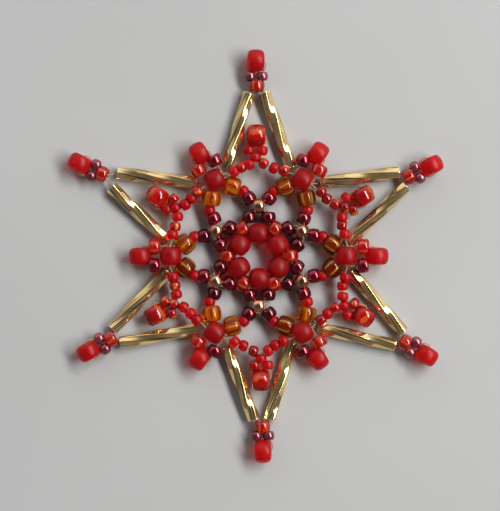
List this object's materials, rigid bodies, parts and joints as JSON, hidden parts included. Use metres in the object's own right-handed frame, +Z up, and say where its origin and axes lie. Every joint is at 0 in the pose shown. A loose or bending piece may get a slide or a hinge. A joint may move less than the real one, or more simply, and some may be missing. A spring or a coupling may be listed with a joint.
{
  "type": "beaded star ornament",
  "caption": "Flat star ornament netted from round seed beads and long twisted bugle beads on fine thread, with picot and fringe loops.",
  "frame": {"origin": "middle of the star's underside, on the table it lies on", "axes": "+Z up out of the star's face, +Y along the first point, which is the picture's top point, and +X to the picture's right"},
  "size_m": [0.0682, 0.0752, 0.0049],
  "materials": {
    "matte_red": "frosted matte red",
    "clear_red": "glossy clear red with a silvered hole",
    "burgundy": "glossy, nearly black wine red",
    "rose_gold": "metallic rose-gold coating",
    "amber": "glossy amber with lengthwise stripes",
    "mauve": "satin metallic mauve brown",
    "gold_glass": "silver-lined pale gold, cut ends",
    "thread": "fine peach nylon"
  },
  "bodies": {
    "net": {"gold_bead_1": "rose_gold", "gold_bead_2": "rose_gold", "gold_bead_3": "rose_gold", "gold_bead_4": "rose_gold", "gold_bead_5": "rose_gold", "gold_bead_6": "rose_gold", "link_bead_1": "clear_red", "link_bead_2": "clear_red", "link_bead_3": "clear_red", "link_bead_4": "clear_red", "link_bead_5": "clear_red", "link_bead_6": "clear_red", "ring_bead_1": "matte_red", "ring_bead_2": "matte_red", "ring_bead_3": "matte_red", "ring_bead_4": "matte_red", "ring_bead_5": "matte_red", "ring_bead_6": "matte_red", "round_1_thread": "thread", "round_2_strand": "burgundy", "round_3_strand": "amber", "tip_strand_1": "matte_red", "tip_strand_2": "matte_red", "tip_strand_3": "matte_red", "tip_strand_4": "matte_red", "tip_strand_5": "matte_red", "tip_strand_6": "matte_red", "valley_bead_1": "matte_red", "valley_bead_2": "matte_red", "valley_bead_3": "matte_red", "valley_bead_4": "matte_red", "valley_bead_5": "matte_red", "valley_bead_6": "matte_red"},
    "bugle_1": {"bugle_1": "gold_glass"},
    "bugle_10": {"bugle_10": "gold_glass"},
    "bugle_11": {"bugle_11": "gold_glass"},
    "bugle_12": {"bugle_12": "gold_glass"},
    "bugle_2": {"bugle_2": "gold_glass"},
    "bugle_3": {"bugle_3": "gold_glass"},
    "bugle_4": {"bugle_4": "gold_glass"},
    "bugle_5": {"bugle_5": "gold_glass"},
    "bugle_6": {"bugle_6": "gold_glass"},
    "bugle_7": {"bugle_7": "gold_glass"},
    "bugle_8": {"bugle_8": "gold_glass"},
    "bugle_9": {"bugle_9": "gold_glass"},
    "fringe_1": {"fringe_1": "matte_red"},
    "fringe_2": {"fringe_2": "matte_red"},
    "fringe_3": {"fringe_3": "matte_red"},
    "fringe_4": {"fringe_4": "matte_red"},
    "fringe_5": {"fringe_5": "matte_red"},
    "fringe_6": {"fringe_6": "matte_red"},
    "picot_1": {"picot_1": "matte_red"},
    "picot_2": {"picot_2": "matte_red"},
    "picot_3": {"picot_3": "matte_red"},
    "picot_4": {"picot_4": "matte_red"},
    "picot_5": {"picot_5": "matte_red"},
    "picot_6": {"picot_6": "matte_red"}
  },
  "joints": [
    {"name": "bugle_1_spin", "type": "hinge", "parent": "net", "child": "bugle_1", "pos_m": [0.0042, 0.02272, 0.00125], "axis": [-0.3358, 0.9419, 0], "continuous": true},
    {"name": "bugle_2_spin", "type": "hinge", "parent": "net", "child": "bugle_2", "pos_m": [-0.00311, 0.02253, 0.00125], "axis": [0.2861, 0.9582, 0], "continuous": true},
    {"name": "bugle_3_spin", "type": "hinge", "parent": "net", "child": "bugle_3", "pos_m": [-0.01758, 0.01411, 0.00125], "axis": [-0.9924, 0.1232, 0], "continuous": true},
    {"name": "bugle_4_spin", "type": "hinge", "parent": "net", "child": "bugle_4", "pos_m": [-0.02069, 0.00749, 0.00125], "axis": [-0.7275, 0.6861, 0], "continuous": true},
    {"name": "bugle_5_spin", "type": "hinge", "parent": "net", "child": "bugle_5", "pos_m": [-0.0207, -0.00796, 0.00125], "axis": [-0.6855, -0.728, 0], "continuous": true},
    {"name": "bugle_6_spin", "type": "hinge", "parent": "net", "child": "bugle_6", "pos_m": [-0.0172, -0.01438, 0.00125], "axis": [-0.9833, -0.1819, 0], "continuous": true},
    {"name": "bugle_7_spin", "type": "hinge", "parent": "net", "child": "bugle_7", "pos_m": [-0.00264, -0.02278, 0.00125], "axis": [0.3506, -0.9365, 0], "continuous": true},
    {"name": "bugle_8_spin", "type": "hinge", "parent": "net", "child": "bugle_8", "pos_m": [0.00466, -0.02247, 0.00125], "axis": [-0.271, -0.9626, 0], "continuous": true},
    {"name": "bugle_9_spin", "type": "hinge", "parent": "net", "child": "bugle_9", "pos_m": [0.01838, -0.01455, 0.00125], "axis": [0.9748, -0.2229, 0], "continuous": true},
    {"name": "bugle_10_spin", "type": "hinge", "parent": "net", "child": "bugle_10", "pos_m": [0.02214, -0.00829, 0.00125], "axis": [0.6544, -0.7561, 0], "continuous": true},
    {"name": "bugle_11_spin", "type": "hinge", "parent": "net", "child": "bugle_11", "pos_m": [0.02215, 0.00758, 0.00125], "axis": [0.7203, 0.6937, 0], "continuous": true},
    {"name": "bugle_12_spin", "type": "hinge", "parent": "net", "child": "bugle_12", "pos_m": [0.01897, 0.01416, 0.00125], "axis": [0.991, 0.1336, 0], "continuous": true},
    {"name": "picot_1_swing", "type": "hinge", "parent": "net", "child": "picot_1", "pos_m": [-0.00719, 0.01371, 0.00313], "axis": [0.866, 0.5, 0], "range_deg": [0, 35]},
    {"name": "picot_2_swing", "type": "hinge", "parent": "net", "child": "picot_2", "pos_m": [-0.01511, 0, 0.00313], "axis": [0, 1, 0], "range_deg": [0, 35]},
    {"name": "picot_3_swing", "type": "hinge", "parent": "net", "child": "picot_3", "pos_m": [-0.00719, -0.01371, 0.00313], "axis": [-0.866, 0.5, 0], "range_deg": [0, 35]},
    {"name": "picot_4_swing", "type": "hinge", "parent": "net", "child": "picot_4", "pos_m": [0.00864, -0.01371, 0.00313], "axis": [-0.866, -0.5, 0], "range_deg": [0, 35]},
    {"name": "picot_5_swing", "type": "hinge", "parent": "net", "child": "picot_5", "pos_m": [0.01656, 0, 0.00313], "axis": [0, -1, 0], "range_deg": [0, 35]},
    {"name": "picot_6_swing", "type": "hinge", "parent": "net", "child": "picot_6", "pos_m": [0.00864, 0.01371, 0.00313], "axis": [0.866, -0.5, 0], "range_deg": [0, 35]},
    {"name": "fringe_1_swing", "type": "hinge", "parent": "net", "child": "fringe_1", "pos_m": [0.00072, 0.01441, 0.00356], "axis": [1, 0, 0], "range_deg": [0, 30]},
    {"name": "fringe_2_swing", "type": "hinge", "parent": "net", "child": "fringe_2", "pos_m": [-0.01176, 0.00721, 0.00356], "axis": [0.5, 0.866, 0], "range_deg": [0, 30]},
    {"name": "fringe_3_swing", "type": "hinge", "parent": "net", "child": "fringe_3", "pos_m": [-0.01176, -0.00721, 0.00356], "axis": [-0.5, 0.866, 0], "range_deg": [0, 30]},
    {"name": "fringe_4_swing", "type": "hinge", "parent": "net", "child": "fringe_4", "pos_m": [0.00072, -0.01441, 0.00356], "axis": [-1, 0, 0], "range_deg": [0, 30]},
    {"name": "fringe_5_swing", "type": "hinge", "parent": "net", "child": "fringe_5", "pos_m": [0.01321, -0.00721, 0.00356], "axis": [-0.5, -0.866, 0], "range_deg": [0, 30]},
    {"name": "fringe_6_swing", "type": "hinge", "parent": "net", "child": "fringe_6", "pos_m": [0.01321, 0.00721, 0.00356], "axis": [0.5, -0.866, 0], "range_deg": [0, 30]}
  ]
}
